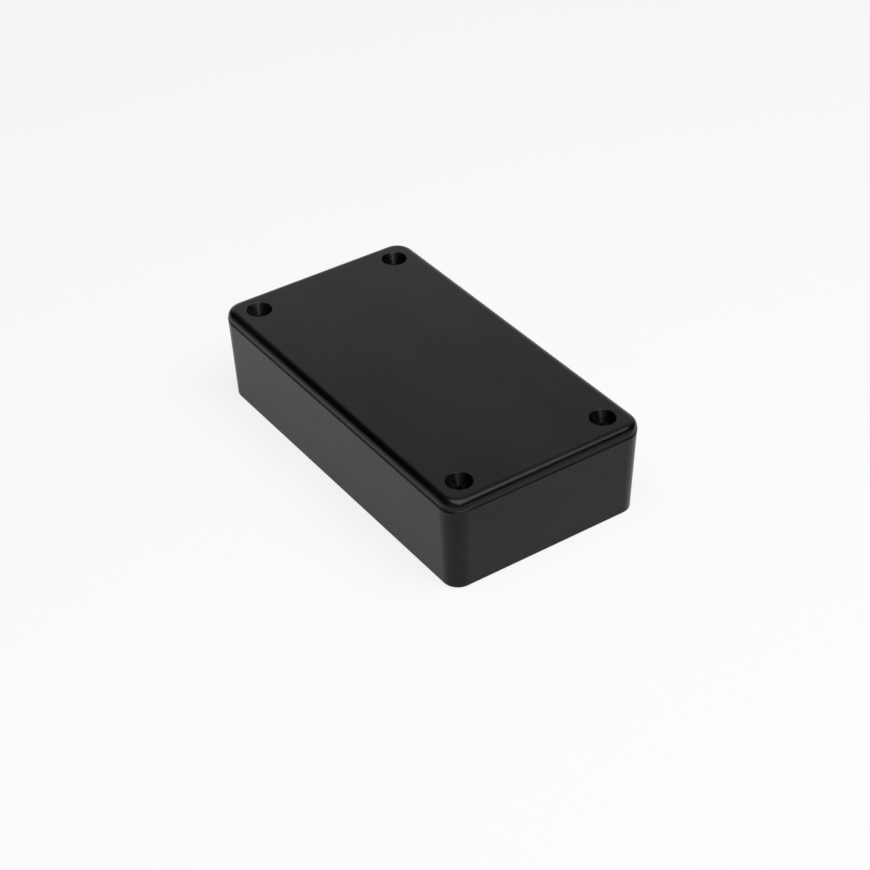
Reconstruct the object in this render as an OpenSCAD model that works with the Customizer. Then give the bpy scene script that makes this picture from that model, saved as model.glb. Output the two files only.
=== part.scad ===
// Moulded plastic project box: a base with drafted walls and a screw-down lid with a rolled edge.
// Z is up and the box stands on Z = 0, centred on X and Y, with its long side along X.

/* [Box] */
// Length over the lid
box_l = 112; // [100:1:160]
// Width over the lid
box_w = 61; // [50:1:90]
// Height, closed
box_h = 28; // [24:1:45]
// Radius of the upright corners, at the lid band
corner_r = 5.5; // [5:0.25:8]
// Draft of the walls, in degrees
draft = 2.4; // [0.5:0.1:3]

/* [Mouldings] */
// Wall of the base
wall_t = 2.2; // [1.8:0.1:3]
// Floor of the base
floor_t = 2; // [1.5:0.1:4]
// Plate of the lid
lid_t = 2; // [1.8:0.1:2.4]
// Radius of the base's bottom edge
foot_r = 0.4; // [0.2:0.1:1.5]

/* [Lid edge] */
// Height of the lid above the parting line
lid_h = 3; // [2.8:0.1:4]
// Height of the rim band at the foot of the lid
band_h = 0.4; // [0.4:0.05:1]
// How far the rim band stands proud of the rolled edge
band_proud = 0.15; // [0.05:0.05:0.2]
// Radius of the rolled edge
roll_r = 2.2; // [1.5:0.1:2.6]
// How far the base stands back under the rim band
set_back = 0.05; // [0:0.05:0.5]
// Height of the shadow line below the lid
shadow_h = 0.3; // [0.2:0.05:0.8]
// Depth of the shadow line
shadow_d = 0.45; // [0.3:0.05:0.6]
// Break on the sharp edges along the parting line and round the screw holes
edge_break = 0.1; // [0.05:0.05:0.15]

/* [Rim joint] */
// Thickness of the base's outer lip
lip_t = 1.1; // [1:0.1:1.4]
// Thickness of the lid's tongue
tongue_t = 0.9; // [0.7:0.05:1.2]
// Depth of the tongue below the parting line
tongue_h = 1.5; // [1:0.1:3]
// Clearance round the tongue
joint_gap = 0.15; // [0.05:0.05:0.3]

/* [Screws] */
// Distance of each screw from the outside of the lid, both ways
screw_inset = 8; // [7:0.1:12]
// Rim diameter of a countersink
sink_d = 7.1; // [5:0.1:7.5]
// Depth of a countersink
sink_h = 2.9; // [1.5:0.1:3.2]
// Diameter of the screw hole in the lid
screw_hole_d = 3.2; // [3:0.1:4]
// Radius of the corner bosses
boss_r = 4.1; // [3.6:0.1:5]
// Thickness of the webs that tie a boss to its walls
web_t = 1.8; // [1.2:0.1:2.5]
// How far the lid's bosses reach below the parting line
boss_drop = 1; // [0.6:0.1:1.4]
// Depth of the hole in a boss
boss_hole_depth = 14; // [9:0.5:16]

/* [Inserts] */
// Outside diameter of a threaded insert
insert_d = 4.6; // [4:0.1:5]
// Length of a threaded insert
insert_l = 6; // [4:0.5:8]
// Bore of a threaded insert
insert_bore_d = 3; // [2.5:0.1:3.2]
// Height of each of its two bands
insert_band = 1.8; // [1:0.1:2]
// Depth of the waist between the bands
insert_waist = 0.3; // [0.1:0.05:0.4]
// Chamfer at the mouth of the bore
insert_lead = 0.3; // [0.1:0.1:0.5]
// How far an insert sits below the top of its boss
insert_sunk = 0.3; // [0:0.1:1]
// Clearance round an insert
insert_gap = 0.05; // [0:0.01:0.1]

/* [Card guides] */
// Thickness of the circuit board they take
board_t = 1.6; // [1:0.1:2.4]
// Clearance of a board in its slot, in all
board_gap = 0.2; // [0.1:0.05:0.4]
// Thickness of a guide rib
guide_t = 1.2; // [0.8:0.1:2]
// Depth of a slot at the floor
guide_d = 1.2; // [0.8:0.1:2]
// Distance between slots
guide_pitch = 14; // [8:0.5:25]

/* [Board posts] */
// Length between the posts
post_l = 70; // [30:1:70]
// Width between the posts
post_w = 34; // [16:1:34]
// Radius of a post
post_r = 2.8; // [2.2:0.1:3.5]
// Height of a post above the floor
post_h = 4; // [2:0.5:8]
// Diameter of the pilot hole in a post
pilot_d = 2.2; // [1.6:0.1:2.8]

/* [Hidden] */
$fn = 64;
over = 1;                                      // how far a cutter runs past the face it opens
base_h = box_h - lid_h;                        // height of the base, up to the parting line
core_l = box_l - 2 * corner_r;                 // rectangle between the centres of the corner radii
core_w = box_w - 2 * corner_r;
screw_x = box_l / 2 - screw_inset;             // place of a screw, from the middle of the box
screw_y = box_w / 2 - screw_inset;
lean = tan(draft);                             // how far a wall leans out for each unit of height

// Radii below are measured out from the centres of the corner radii, as swept profiles are.
wall_r = corner_r - set_back;                  // outside of the base at the parting line
foot_wall_r = wall_r - lean * base_h;          // and at its foot
inner_r = wall_r - wall_t;                     // inside of the wall at the parting line
floor_r = inner_r - lean * (base_h - floor_t); // and at the floor
lip_r = wall_r - lip_t;                        // inside of the lip that stands round the tongue
tongue_r = lip_r - joint_gap;                  // outside of the tongue
pocket_r = tongue_r - tongue_t;                // inside of the tongue and of the lid
roll_foot_r = corner_r - band_proud;           // foot of the rolled edge
guide_r = floor_r - guide_d;                   // face of the guide ribs

ledge_z = base_h - tongue_h - joint_gap;       // ledge in the wall, below the tongue
guide_top = ledge_z - joint_gap;               // top of the guide ribs
slot_t = board_t + board_gap;                  // width of a card slot
boss_top = base_h - boss_drop;                 // where the bosses of the base and the lid meet
insert_z = boss_top - insert_sunk - insert_l;  // shoulder that an insert stands on

// Sweeps a profile round the box. X of the profile points outwards from the corner centres.
module swept() {
    ends = [1, -1, -1, 1];
    sides = [1, 1, -1, -1];
    for (i = [0:3])
        translate([ends[i] * core_l / 2, sides[i] * core_w / 2, 0])
            rotate([0, 0, 90 * i]) rotate_extrude(angle = 90) children();
    for (turn = [0, 180])
        rotate([0, 0, turn]) {
            translate([-core_l / 2, core_w / 2, 0])
                rotate([90, 0, 90]) linear_extrude(core_l) children();
            translate([core_l / 2, core_w / 2, 0])
                rotate([90, 0, 0]) linear_extrude(core_w) children();
        }
}

// Fills in between the corner centres, from one height to another
module core(from, to) {
    translate([-core_l / 2, -core_w / 2, from]) cube([core_l, core_w, to - from]);
}

// Places its children at the four screws
module at_screws() {
    for (end = [-1, 1], side = [-1, 1])
        translate([end * screw_x, side * screw_y, 0]) children();
}

// Places its children at the four board posts
module at_posts() {
    for (end = [-1, 1], side = [-1, 1])
        translate([end * post_l / 2, side * post_w / 2, 0]) children();
}

// Half section of the base's outside, with its round foot and the shadow line under the lid
module base_outline() {
    difference() {
        polygon([[0, 0], [foot_wall_r, 0], [wall_r, base_h], [0, base_h]]);
        difference() {
            translate([foot_wall_r - foot_r, -over]) square([foot_r + over, foot_r + over]);
            translate([foot_wall_r - foot_r, foot_r]) circle(foot_r);
        }
        polygon([[wall_r - shadow_d, base_h + over], [wall_r - shadow_d, base_h - shadow_h],
                 [wall_r - edge_break, base_h - shadow_h],
                 [wall_r + over, base_h - shadow_h - edge_break - over], [wall_r + over, base_h + over]]);
    }
}

// Half section of the hollow, with the rebate that takes the lid's tongue
module hollow_outline() {
    polygon([[0, floor_t], [floor_r, floor_t], [inner_r, base_h], [inner_r, base_h + over],
             [0, base_h + over]]);
    translate([0, ledge_z]) square([lip_r, base_h + over - ledge_z]);
}

// Two upright ribs with a card slot between them, on a wall along X whose corner centres lie at wall_y
module guide_pair(wall_y) {
    for (side = [-1, 1])
        translate([side * (slot_t + guide_t) / 2 - guide_t / 2, wall_y + guide_r, 0])
            cube([guide_t, corner_r, guide_top]);
}

// Guide pairs along all four walls, clear of the corner bosses
module guides() {
    row_l = 2 * floor((screw_x - boss_r) / guide_pitch) + 1;
    row_w = 2 * floor((screw_y - boss_r) / guide_pitch + 0.5);
    for (turn = [0, 180])
        rotate([0, 0, turn]) {
            for (i = [0:row_l - 1])
                translate([(i - (row_l - 1) / 2) * guide_pitch, 0, 0]) guide_pair(core_w / 2);
            for (i = [0:row_w - 1])
                rotate([0, 0, 90])
                    translate([(i - (row_w - 1) / 2) * guide_pitch, 0, 0]) guide_pair(core_l / 2);
        }
}

// Corner bosses, each tied to its two walls by webs that stop below the tongue
module bosses() {
    for (end = [-1, 1], side = [-1, 1])
        translate([end * screw_x, side * screw_y, 0]) {
            cylinder(r = boss_r, h = boss_top);
            translate([min(0, end * screw_inset), -web_t / 2, 0]) cube([screw_inset, web_t, ledge_z]);
            translate([-web_t / 2, min(0, side * screw_inset), 0]) cube([web_t, screw_inset, ledge_z]);
        }
}

module base() {
    color([0.16, 0.16, 0.17])
    difference() {
        union() {
            swept() base_outline();
            core(0, base_h);
        }
        // the hollow, less everything that stands in it
        difference() {
            union() {
                swept() hollow_outline();
                core(floor_t, base_h + over);
            }
            guides();
            bosses();
            at_posts() cylinder(r = post_r, h = floor_t + post_h);
        }
        at_screws() {
            translate([0, 0, boss_top - boss_hole_depth])
                cylinder(d = screw_hole_d, h = boss_hole_depth + over);
            translate([0, 0, insert_z])
                cylinder(d = insert_d + 2 * insert_gap, h = boss_top - insert_z + over);
        }
        at_posts() translate([0, 0, floor_t]) cylinder(d = pilot_d, h = post_h + over);
    }
}

// Half section of the lid's edge: rim band, rolled edge, and tongue below the parting line
module lid_outline() {
    difference() {
        union() {
            polygon([[0, 0], [corner_r - edge_break, 0], [corner_r, edge_break],
                     [corner_r, band_h - band_proud], [roll_foot_r, band_h], [0, band_h]]);
            square([roll_foot_r, lid_h - roll_r]);
            square([roll_foot_r - roll_r, lid_h]);
            intersection() {
                translate([roll_foot_r - roll_r, lid_h - roll_r]) circle(roll_r);
                square([corner_r, lid_h]);
            }
        }
        translate([-over, -over]) square([pocket_r + over, lid_h - lid_t + over]);
    }
    translate([pocket_r, -tongue_h]) square([tongue_t, tongue_h + lid_h / 2]);
}

// Half section of a screw hole in the lid: a plain hole, a steep countersink and a broken rim
module sink_outline() {
    polygon([[0, -boss_drop - over], [screw_hole_d / 2, -boss_drop - over],
             [screw_hole_d / 2, lid_h - sink_h], [sink_d / 2, lid_h - edge_break],
             [sink_d / 2 + edge_break + over, lid_h + over], [0, lid_h + over]]);
}

module lid() {
    color([0.17, 0.17, 0.18])
    translate([0, 0, base_h])
        difference() {
            union() {
                swept() lid_outline();
                core(lid_h - lid_t, lid_h);
                at_screws() translate([0, 0, -boss_drop])
                    cylinder(r = boss_r, h = boss_drop + lid_h - lid_t / 2);
            }
            at_screws() rotate_extrude() sink_outline();
        }
}

// Threaded insert with two bands that grip the boss and a waist between them
module insert(end, side) {
    bore = insert_bore_d / 2;
    outside = insert_d / 2;
    waist = outside - insert_waist;
    color([0.75, 0.6, 0.3])
    translate([end * screw_x, side * screw_y, insert_z])
        rotate_extrude()
            polygon([[bore, 0], [outside, 0], [outside, insert_band], [waist, insert_band + insert_waist],
                     [waist, insert_l - insert_band - insert_waist], [outside, insert_l - insert_band],
                     [outside, insert_l], [bore + insert_lead, insert_l], [bore, insert_l - insert_lead]]);
}

module insert_near() insert(1, -1);
module insert_right() insert(1, 1);
module insert_left() insert(-1, -1);
module insert_far() insert(-1, 1);

base();
lid();
insert_near();
insert_right();
insert_left();
insert_far();
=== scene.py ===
import math
import bmesh
import bpy
from mathutils import Matrix, Vector


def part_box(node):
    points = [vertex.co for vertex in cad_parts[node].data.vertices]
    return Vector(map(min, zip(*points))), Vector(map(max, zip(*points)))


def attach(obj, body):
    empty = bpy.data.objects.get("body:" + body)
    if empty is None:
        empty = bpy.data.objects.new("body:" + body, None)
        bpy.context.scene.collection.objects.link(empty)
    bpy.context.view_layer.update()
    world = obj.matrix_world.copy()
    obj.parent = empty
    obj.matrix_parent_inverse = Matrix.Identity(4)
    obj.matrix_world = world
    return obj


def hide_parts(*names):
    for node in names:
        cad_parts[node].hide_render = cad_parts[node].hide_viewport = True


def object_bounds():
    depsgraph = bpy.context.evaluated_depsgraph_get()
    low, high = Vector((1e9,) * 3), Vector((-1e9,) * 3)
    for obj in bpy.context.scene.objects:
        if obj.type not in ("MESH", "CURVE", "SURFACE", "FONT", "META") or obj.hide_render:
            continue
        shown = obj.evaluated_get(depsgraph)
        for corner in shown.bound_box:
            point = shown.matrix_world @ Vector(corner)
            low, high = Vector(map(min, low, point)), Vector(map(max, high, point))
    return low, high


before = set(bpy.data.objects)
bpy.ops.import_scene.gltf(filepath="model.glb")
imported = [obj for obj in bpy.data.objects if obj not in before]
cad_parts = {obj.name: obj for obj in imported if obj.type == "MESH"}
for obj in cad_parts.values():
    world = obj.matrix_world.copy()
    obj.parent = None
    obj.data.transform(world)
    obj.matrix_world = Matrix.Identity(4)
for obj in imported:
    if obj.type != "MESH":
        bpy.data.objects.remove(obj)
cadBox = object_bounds()
low, high = cadBox
mid = (low + high) / 2
print("stage: frame loaded")

# Camera, looking down over the near corner of the box
camera = {
    "azimuth": 56.44,               # degrees round from the front
    "elevation": 35.62,             # degrees above the horizon
    "distance": 0.567,              # metres from the middle of the box
    "aim": (0.0055, -0.0008, -0.0068),   # point looked at, from the middle of the box
    "roll": -1.39,                  # degrees
    "lens": 86.7,                   # millimetres, on the sensor below
    "sensor": 36,
    "clip": (0.01, 20),             # nearest and furthest that it sees, in metres
}


def makeCamera(values):
    data = bpy.data.cameras.new("camera")
    data.sensor_width = values["sensor"]
    data.lens = values["lens"]
    data.clip_start, data.clip_end = values["clip"]
    around = math.radians(values["azimuth"])
    up = math.radians(values["elevation"])
    away = Vector((math.sin(around) * math.cos(up), -math.cos(around) * math.cos(up), math.sin(up)))
    place = mid + away * values["distance"]
    look = mid + Vector(values["aim"]) - place
    roll = Matrix.Rotation(math.radians(values["roll"]), 3, "Z")
    turn = look.to_track_quat("-Z", "Y").to_matrix() @ roll
    cam = bpy.data.objects.new("camera", data)
    cam.matrix_world = Matrix.Translation(place) @ turn.to_4x4()
    bpy.context.collection.objects.link(cam)
    bpy.context.scene.camera = cam


# Short ways to make materials and nodes
def newMaterial(name):
    material = bpy.data.materials.new(name)
    material.use_nodes = True
    return material, material.node_tree


def addNode(tree, kind, values=None, **settings):
    node = tree.nodes.new(kind)
    for name, value in settings.items():
        setattr(node, name, value)
    for name, value in (values or {}).items():
        node.inputs[name].default_value = value
    return node


def link(tree, start, end):
    tree.links.new(start, end)


# Feeds each socket from a number or from another node
def feed(tree, sockets, values):
    for socket, value in zip(sockets, values):
        if isinstance(value, (int, float)):
            socket.default_value = value
        else:
            tree.links.new(value, socket)


def math2(tree, operation, a, b=0.0):
    node = addNode(tree, "ShaderNodeMath", operation=operation)
    feed(tree, node.inputs, (a, b))
    return node.outputs[0]


def mixOf(tree, share, a, b):
    node = addNode(tree, "ShaderNodeMix", data_type="RGBA")
    link(tree, share, node.inputs["Factor"])
    for socket, value in zip(node.inputs[6:8], (a, b)):    # its two colours
        if isinstance(value, tuple):
            socket.default_value = (*value, 1)
        else:
            link(tree, value, socket)
    return node.outputs[2]


def fade(tree, value, start, end, first, last):
    limits = {"From Min": start, "From Max": end, "To Min": first, "To Max": last}
    node = addNode(tree, "ShaderNodeMapRange", limits, interpolation_type="SMOOTHSTEP")
    link(tree, value, node.inputs["Value"])
    return node.outputs["Result"]


def noise(tree, place, grain, detail=2.0, rough=0.5, stretch=(1, 1, 1)):
    turned = addNode(tree, "ShaderNodeMapping", {"Scale": stretch})
    link(tree, place, turned.inputs["Vector"])
    node = addNode(tree, "ShaderNodeTexNoise", {"Scale": 1 / grain, "Detail": detail, "Roughness": rough})
    link(tree, turned.outputs[0], node.inputs["Vector"])
    return node.outputs[0]


# Black moulded plastic: satin grain, uneven flow marks, scuffs, and edges that handling has polished
basePlastic = {
    "colour": (0.0002, 0.0002, 0.0003),
    "flowColour": (0.0033, 0.0033, 0.0034),   # where the melt flowed thin
    "wornColour": (0.0030, 0.0030, 0.0031),   # along edges
    "roughness": 0.27,
    "flowRoughness": 0.025,         # how much the flow marks change the roughness
    "wornRoughness": -0.05,         # how much a worn edge does
    "scuffRoughness": 0.05,         # and a scuff
    "ior": 1.31,
    "grain": 0.00022,               # size of the satin grain, in metres
    "grainDepth": 0.0000020,
    "flow": 0.014,                  # size of the flow marks
    "flowStretch": (0.5, 1, 1.6),   # below 1 draws a pattern out along that axis
    "flowFade": (0.35, 0.65),       # noise values between which the marks fade in
    "waveDepth": 0.000030,          # sink and ripple of the flat walls
    "scuff": 0.0045,                # size of the scuffs
    "scuffStretch": (1, 1.6, 1),
    "scuffFade": (0.52, 0.74),
    "edge": 0.0006,                 # width of the worn edge
    "wornFade": (0.38, 0.60),
    "wornLeast": 0.25,              # share of the wear in its least worn places
    "cornerWear": 0.35,             # share of the wear on the upright corners
    "corner": 0.0055,               # radius of the upright corners
}

lidPlastic = dict(basePlastic, roughness=0.26, flow=0.018, edge=0.0008)


# How near a point is to the outer edges of a node's own box, as a share from 0 to 1
def edgeShare(tree, place, box, values):
    start, end = box
    half = (end - start) / 2
    centre = (end + start) / 2
    parts = addNode(tree, "ShaderNodeSeparateXYZ")
    link(tree, place, parts.inputs[0])
    beyond = []                     # how far out past the centres of the corner radii
    for axis, name in enumerate(("X", "Y")):
        away = math2(tree, "ABSOLUTE", math2(tree, "SUBTRACT", parts.outputs[name], centre[axis]))
        past = math2(tree, "SUBTRACT", away, half[axis] - values["corner"])
        beyond.append(math2(tree, "MAXIMUM", past, 0.0))
    squares = [math2(tree, "POWER", side, 2.0) for side in beyond]
    reach = math2(tree, "SQRT", math2(tree, "ADD", *squares))
    across = 3 * values["edge"]     # on the flats the wear reaches twice as far as on the walls
    down = 1.5 * values["edge"]
    outside = fade(tree, reach, values["corner"] - across, values["corner"], 0.0, 1.0)
    upper = fade(tree, parts.outputs["Z"], end.z - down, end.z, 0.0, 1.0)
    lower = fade(tree, parts.outputs["Z"], start.z, start.z + down, 1.0, 0.0)
    rims = math2(tree, "MULTIPLY", outside, math2(tree, "MAXIMUM", upper, lower))
    turning = [math2(tree, "GREATER_THAN", side, 0.0) for side in beyond]
    corners = math2(tree, "MULTIPLY", math2(tree, "MULTIPLY", *turning), values["cornerWear"])
    return math2(tree, "MAXIMUM", rims, corners)


def mouldedPlastic(name, box, values):
    material, tree = newMaterial(name)
    shader = tree.nodes["Principled BSDF"]
    shader.inputs["IOR"].default_value = values["ior"]
    place = addNode(tree, "ShaderNodeTexCoord").outputs["Object"]
    flow = noise(tree, place, values["flow"], 3.0, 0.55, values["flowStretch"])
    marks = noise(tree, place, values["scuff"], 4.0, 0.58, values["scuffStretch"])
    scuffs = fade(tree, marks, *values["scuffFade"], 0.0, 1.0)
    rubbed = fade(tree, marks, *values["wornFade"], values["wornLeast"], 1.0)
    worn = math2(tree, "MULTIPLY", edgeShare(tree, place, box, values), rubbed)

    thin = fade(tree, flow, *values["flowFade"], 0.0, 1.0)
    colour = mixOf(tree, thin, values["colour"], values["flowColour"])
    colour = mixOf(tree, worn, colour, values["wornColour"])
    link(tree, colour, shader.inputs["Base Color"])

    swing = math2(tree, "MULTIPLY", math2(tree, "SUBTRACT", flow, 0.5), 2 * values["flowRoughness"])
    rough = math2(tree, "ADD", values["roughness"], swing)
    for share, change in ((worn, values["wornRoughness"]), (scuffs, values["scuffRoughness"])):
        rough = math2(tree, "ADD", rough, math2(tree, "MULTIPLY", share, change))
    link(tree, rough, shader.inputs["Roughness"])

    wave = addNode(tree, "ShaderNodeBump", {"Strength": 1.0, "Distance": values["waveDepth"]})
    link(tree, flow, wave.inputs["Height"])
    satin = addNode(tree, "ShaderNodeBump", {"Strength": 1.0, "Distance": values["grainDepth"]})
    link(tree, noise(tree, place, values["grain"], 1.0), satin.inputs["Height"])
    link(tree, wave.outputs[0], satin.inputs["Normal"])
    link(tree, satin.outputs[0], shader.inputs["Normal"])
    return material


# Turned brass of the threaded inserts
brass = {
    "colour": (0.72, 0.50, 0.22),
    "dullColour": (0.42, 0.28, 0.12),
    "roughness": 0.24,
    "dullRoughness": 0.16,          # how much a dull patch adds
    "patch": 0.0012,                # size of the dull patches, in metres
    "patchFade": (0.40, 0.68),
    "turning": 0.00008,             # spacing of the turning marks
    "turningStretch": (0.02, 0.02, 1),
    "turningDepth": 0.000002,
}


def turnedBrass(name, values):
    material, tree = newMaterial(name)
    shader = tree.nodes["Principled BSDF"]
    shader.inputs["Metallic"].default_value = 1.0
    place = addNode(tree, "ShaderNodeTexCoord").outputs["Object"]
    patches = fade(tree, noise(tree, place, values["patch"], 4.0, 0.6), *values["patchFade"], 0.0, 1.0)
    link(tree, mixOf(tree, patches, values["colour"], values["dullColour"]), shader.inputs["Base Color"])
    duller = math2(tree, "MULTIPLY", patches, values["dullRoughness"])
    link(tree, math2(tree, "ADD", values["roughness"], duller), shader.inputs["Roughness"])
    marks = noise(tree, place, values["turning"], 2.0, 0.5, values["turningStretch"])
    bump = addNode(tree, "ShaderNodeBump", {"Strength": 1.0, "Distance": values["turningDepth"]})
    link(tree, marks, bump.inputs["Height"])
    link(tree, bump.outputs[0], shader.inputs["Normal"])
    return material


# A threaded insert: a turned sleeve with two knurled bands, and a thread in its bore
insert = {
    "outside": 0.0023,              # radii and lengths in metres
    "bore": 0.0015,
    "band": 0.0018,                 # height of each knurled band
    "rootDepth": 0.00020,           # from the outside down to the root of the knurl
    "rim": 0.00015,                 # broken edge at each end
    "waist": 0.00035,               # from the outside down to the waist
    "slope": 0.0002,                # height of the slope from a band down to the waist
    "lead": 0.0003,                 # chamfer at the mouth
    "segments": 64,
    "ribs": 30,                     # knurl ribs round each band
    "ribInset": 0.00025,            # from the outside to the middle of a rib
    "ribWidth": 0.00030,
    "ribLength": 0.84,              # share of the band
    "ribTilt": 22.0,                # degrees, one way on the upper band and the other way on the lower
    "pitch": 0.0005,                # of the thread
    "threadDepth": 0.00022,
}


def sleeveMesh(height, values):
    bore, lead, band, rim, slope = (values[name] for name in ("bore", "lead", "band", "rim", "slope"))
    root = values["outside"] - values["rootDepth"]
    neck = values["outside"] - values["waist"]
    profile = [
        (bore, 0), (root - rim, 0), (root, rim), (root, band),
        (neck, band + slope), (neck, height - band - slope),
        (root, height - band), (root, height - rim), (root - rim, height),
        (bore + lead, height), (bore, height - lead),
    ]
    turns = values["segments"]
    count = len(profile)
    points = []
    faces = []
    for k in range(turns):
        angle = 2 * math.pi * k / turns
        points += [(r * math.cos(angle), r * math.sin(angle), z) for r, z in profile]
        here = k * count
        after = (k + 1) % turns * count
        for i in range(count):
            above = (i + 1) % count
            faces.append((here + i, after + i, after + above, here + above))
    mesh = bpy.data.meshes.new("sleeve")
    mesh.from_pydata(points, [], faces)
    return mesh


def insertTree(material):
    tree = bpy.data.node_groups.new("knurlAndThread", "GeometryNodeTree")
    sockets = tree.interface
    sockets.new_socket("Geometry", in_out="INPUT", socket_type="NodeSocketGeometry")
    sockets.new_socket("ribs", in_out="INPUT", socket_type="NodeSocketInt")
    for name in ("ribRadius", "ribWidth", "ribLength", "ribTilt", "band", "height", "bore", "pitch",
                 "threadDepth"):
        sockets.new_socket(name, in_out="INPUT", socket_type="NodeSocketFloat")
    sockets.new_socket("Geometry", in_out="OUTPUT", socket_type="NodeSocketGeometry")
    given = addNode(tree, "NodeGroupInput").outputs

    def vector(x=0.0, y=0.0, z=0.0):
        node = addNode(tree, "ShaderNodeCombineXYZ")
        feed(tree, node.inputs, (x, y, z))
        return node.outputs[0]

    # One rib, a bar set on its edge
    bar = addNode(tree, "GeometryNodeMeshCube")
    width = given["ribWidth"]
    length = math2(tree, "MULTIPLY", given["band"], given["ribLength"])
    link(tree, vector(width, width, length), bar.inputs["Size"])
    onEdge = addNode(tree, "GeometryNodeTransform", {"Rotation": (0, 0, math.pi / 4)})
    link(tree, bar.outputs[0], onEdge.inputs["Geometry"])

    # The ribs round each band
    join = addNode(tree, "GeometryNodeJoinGeometry")
    link(tree, given["Geometry"], join.inputs[0])
    ring = addNode(tree, "GeometryNodeMeshCircle")
    link(tree, given["ribs"], ring.inputs["Vertices"])
    link(tree, given["ribRadius"], ring.inputs["Radius"])
    order = addNode(tree, "GeometryNodeInputIndex").outputs[0]
    step = math2(tree, "DIVIDE", 2 * math.pi, given["ribs"])
    around = math2(tree, "MULTIPLY", order, step)
    halfBand = math2(tree, "MULTIPLY", given["band"], 0.5)
    for way, level in ((1, math2(tree, "SUBTRACT", given["height"], halfBand)), (-1, halfBand)):
        bars = addNode(tree, "GeometryNodeInstanceOnPoints")
        link(tree, ring.outputs[0], bars.inputs["Points"])
        link(tree, onEdge.outputs[0], bars.inputs["Instance"])
        tilt = math2(tree, "MULTIPLY", given["ribTilt"], way * math.pi / 180)
        link(tree, vector(tilt, 0.0, around), bars.inputs["Rotation"])
        lift = addNode(tree, "GeometryNodeTransform")
        link(tree, bars.outputs[0], lift.inputs["Geometry"])
        link(tree, vector(0.0, 0.0, level), lift.inputs["Translation"])
        link(tree, lift.outputs[0], join.inputs[0])

    # The thread, a ridge along a helix in the bore, one pitch short of each end
    helix = addNode(tree, "GeometryNodeCurveSpiral", {"Resolution": 40})
    run = math2(tree, "SUBTRACT", given["height"], math2(tree, "MULTIPLY", given["pitch"], 2.0))
    link(tree, math2(tree, "DIVIDE", run, given["pitch"]), helix.inputs["Rotations"])
    for name in ("Start Radius", "End Radius"):
        link(tree, given["bore"], helix.inputs[name])
    link(tree, run, helix.inputs["Height"])
    ridge = addNode(tree, "GeometryNodeCurvePrimitiveCircle", {"Resolution": 4})
    link(tree, given["threadDepth"], ridge.inputs["Radius"])
    sweep = addNode(tree, "GeometryNodeCurveToMesh", {"Fill Caps": True})
    link(tree, helix.outputs[0], sweep.inputs["Curve"])
    link(tree, ridge.outputs[0], sweep.inputs["Profile Curve"])
    raised = addNode(tree, "GeometryNodeTransform")
    link(tree, sweep.outputs[0], raised.inputs["Geometry"])
    link(tree, vector(0.0, 0.0, given["pitch"]), raised.inputs["Translation"])
    link(tree, raised.outputs[0], join.inputs[0])

    realize = addNode(tree, "GeometryNodeRealizeInstances")
    link(tree, join.outputs[0], realize.inputs[0])
    finish = addNode(tree, "GeometryNodeSetMaterial", {"Material": material})
    link(tree, realize.outputs[0], finish.inputs["Geometry"])
    link(tree, finish.outputs[0], addNode(tree, "NodeGroupOutput").inputs[0])
    return tree


def makeInsert(node, tree, values):
    start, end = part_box(node)
    height = end.z - start.z
    piece = bpy.data.objects.new(node.replace("_", "") + "Brass", sleeveMesh(height, values))
    bpy.context.collection.objects.link(piece)
    knurl = piece.modifiers.new("knurl", "NODES")
    knurl.node_group = tree
    sizes = dict(values, ribRadius=values["outside"] - values["ribInset"], height=height)
    for socket in tree.interface.items_tree:
        if socket.in_out == "INPUT" and socket.name in sizes:
            knurl[socket.identifier] = sizes[socket.name]
    graph = bpy.context.evaluated_depsgraph_get()
    baked = bpy.data.meshes.new_from_object(piece.evaluated_get(graph))
    piece.modifiers.remove(knurl)
    piece.data = baked
    baked.transform(Matrix.Translation(((start.x + end.x) / 2, (start.y + end.y) / 2, start.z)))
    work = bmesh.new()
    work.from_mesh(baked)
    bmesh.ops.remove_doubles(work, verts=work.verts, dist=1e-8)
    bmesh.ops.recalc_face_normals(work, faces=work.faces)
    work.to_mesh(baked)
    work.free()
    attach(piece, "root")
    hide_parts(node)


# Stage: a pale floor, a white background and a plain studio that shows in the gloss of the plastic
floorLook = {
    "colour": (0.95, 0.95, 0.95),
    "roughness": 0.9,
    "specular": 0.1,
    "size": 6.0,
    "below": 0.0001,                # metres from the underside of the box down to the floor
    "lift": 0.80,                   # share of plain white that the camera sees in the floor
    "glossLift": 0.50,              # and that gloss and glass see
}

room = {
    "fill": 0.12,                   # soft light from all round
    "dark": 0.01,                   # the unlit room above the backdrop, as the gloss shows it
    "skyFoot": 0.03,                # heights, as sines, between which the white backdrop fades out
    "skyTop": 0.11,
}

# Pale screens round the room: direction, the cosines between which each fades in, the heights between
# which it fades out towards its top, and its brightness
screens = {
    "behind": {"toward": (-0.45, 0.60, 0.66), "spread": (0.72, 0.97), "top": (0.90, 1.2), "bright": 0.56},
    "backdrop": {"toward": (-0.80, 0.55, 0.25), "spread": (0.70, 0.95), "top": (0.455, 0.70), "bright": 1.0},
    "right": {"toward": (0.88, 0.45, 0.10), "spread": (0.80, 0.97), "top": (0.10, 0.36), "bright": 0.9},
    "front": {"toward": (0.60, -0.75, 0.28), "spread": (0.75, 1.0), "top": (0.5, 1.0), "bright": 0.30},
    "beside": {"toward": (0.66, -0.18, 0.76), "spread": (0.94, 0.99), "top": (0.90, 1.2), "bright": 2.8},
}

softbox = {
    "place": (0.36, 0.08, 0.82),    # metres from the middle of the box, facing straight down
    "size": (0.68, 1.15),           # across and along
    "turn": -30.0,                  # degrees about the upright
    "power": 8.6,
}


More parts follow.
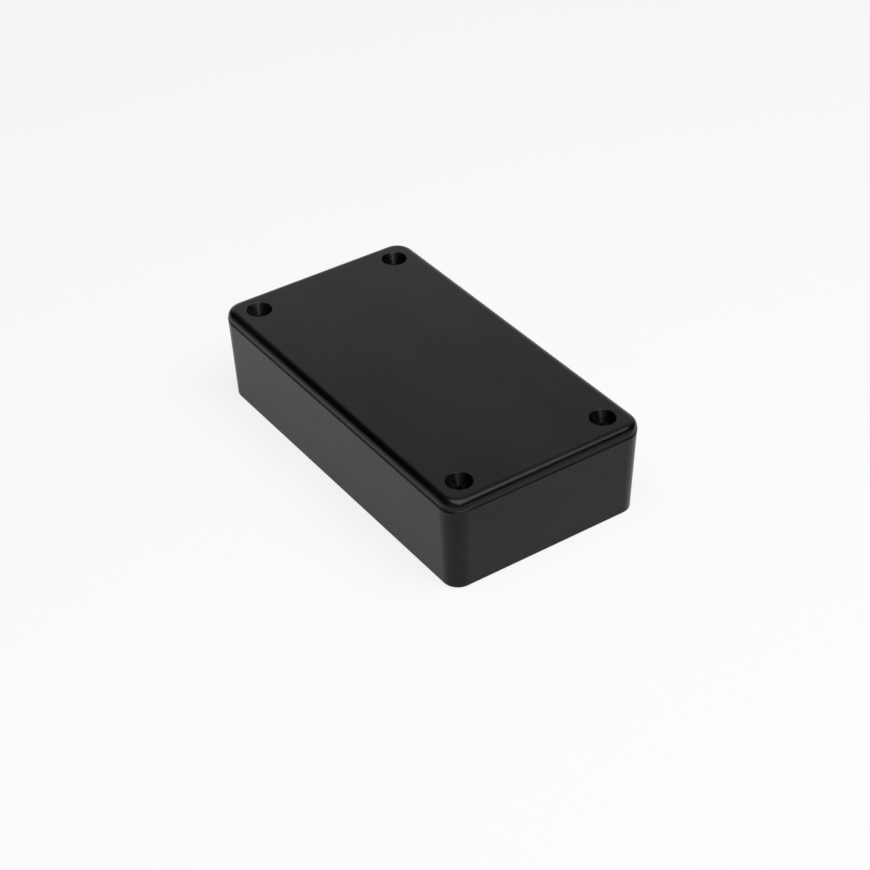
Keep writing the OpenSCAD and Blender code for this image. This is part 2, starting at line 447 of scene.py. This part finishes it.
# Share for rays that the camera sees straight or through gloss and glass, and none for the light itself
def seenShare(tree, straight, mirrored):
    rays = addNode(tree, "ShaderNodeLightPath").outputs
    gloss = math2(tree, "MAXIMUM", rays["Is Glossy Ray"], rays["Is Transmission Ray"])
    return math2(tree, "MAXIMUM", math2(tree, "MULTIPLY", rays["Is Camera Ray"], straight),
                 math2(tree, "MULTIPLY", gloss, mirrored))


def mixShaders(tree, share, first, second):
    node = addNode(tree, "ShaderNodeMixShader")
    for socket, source in zip(node.inputs, (share, first.outputs[0], second.outputs[0])):
        link(tree, source, socket)
    return node


def makeFloor(values):
    half = values["size"] / 2
    mesh = bpy.data.meshes.new("floor")
    level = low.z - values["below"]
    corners = [(-half, -half, level), (half, -half, level), (half, half, level), (-half, half, level)]
    mesh.from_pydata(corners, [], [(0, 1, 2, 3)])
    floor = bpy.data.objects.new("floor", mesh)
    material, tree = newMaterial("paleFloor")
    shader = tree.nodes["Principled BSDF"]
    shader.inputs["Base Color"].default_value = (*values["colour"], 1)
    shader.inputs["Roughness"].default_value = values["roughness"]
    shader.inputs["Specular IOR Level"].default_value = values["specular"]
    white = addNode(tree, "ShaderNodeEmission", {"Strength": 1.0})
    mix = mixShaders(tree, seenShare(tree, values["lift"], values["glossLift"]), shader, white)
    link(tree, mix.outputs[0], tree.nodes["Material Output"].inputs[0])
    mesh.materials.append(material)
    bpy.context.collection.objects.link(floor)


def makeWorld(values, panels):
    world = bpy.data.worlds.new("studio")
    world.use_nodes = True
    tree = world.node_tree
    tree.nodes.clear()
    way = addNode(tree, "ShaderNodeTexCoord").outputs["Generated"]
    parts = addNode(tree, "ShaderNodeSeparateXYZ")
    link(tree, way, parts.inputs[0])
    glow = fade(tree, parts.outputs["Z"], values["skyFoot"], values["skyTop"], 1.0, values["dark"])
    for panel in panels.values():
        dot = addNode(tree, "ShaderNodeVectorMath", operation="DOT_PRODUCT")
        dot.inputs[1].default_value = Vector(panel["toward"]).normalized()
        link(tree, way, dot.inputs[0])
        across = fade(tree, dot.outputs["Value"], *panel["spread"], 0.0, panel["bright"])
        upward = fade(tree, parts.outputs["Z"], *panel["top"], 1.0, 0.0)
        glow = math2(tree, "MAXIMUM", glow, math2(tree, "MULTIPLY", across, upward))
    white = {"Color": (1, 1, 1, 1)}
    fill = addNode(tree, "ShaderNodeBackground", dict(white, Strength=values["fill"]))
    gloss = addNode(tree, "ShaderNodeBackground", white)
    link(tree, glow, gloss.inputs["Strength"])
    plain = addNode(tree, "ShaderNodeBackground", dict(white, Strength=1.0))
    inGloss = mixShaders(tree, seenShare(tree, 1.0, 1.0), fill, gloss)
    cameraRay = addNode(tree, "ShaderNodeLightPath").outputs["Is Camera Ray"]
    inView = mixShaders(tree, cameraRay, inGloss, plain)
    link(tree, inView.outputs[0], addNode(tree, "ShaderNodeOutputWorld").inputs[0])
    bpy.context.scene.world = world


def makeSoftbox(values):
    data = bpy.data.lights.new("softbox", "AREA")
    data.shape = "RECTANGLE"
    data.size, data.size_y = values["size"]
    data.energy = values["power"]
    lamp = bpy.data.objects.new("softbox", data)
    lamp.location = mid + Vector(values["place"])
    lamp.rotation_euler.z = math.radians(values["turn"])
    bpy.context.collection.objects.link(lamp)


makeCamera(camera)
makeFloor(floorLook)
makeWorld(room, screens)
makeSoftbox(softbox)
bpy.context.scene.view_settings.view_transform = "Standard"
print("stage: camera, floor and light made")

for node, values in (("base", basePlastic), ("lid", lidPlastic)):
    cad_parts[node].data.materials[0] = mouldedPlastic(node + "Plastic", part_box(node), values)
print("stage: plastic finished")

insertNodes = insertTree(turnedBrass("turnedBrass", brass))
for node in ("insert_near", "insert_right", "insert_left", "insert_far"):
    makeInsert(node, insertNodes, insert)
print("stage: threaded inserts made")
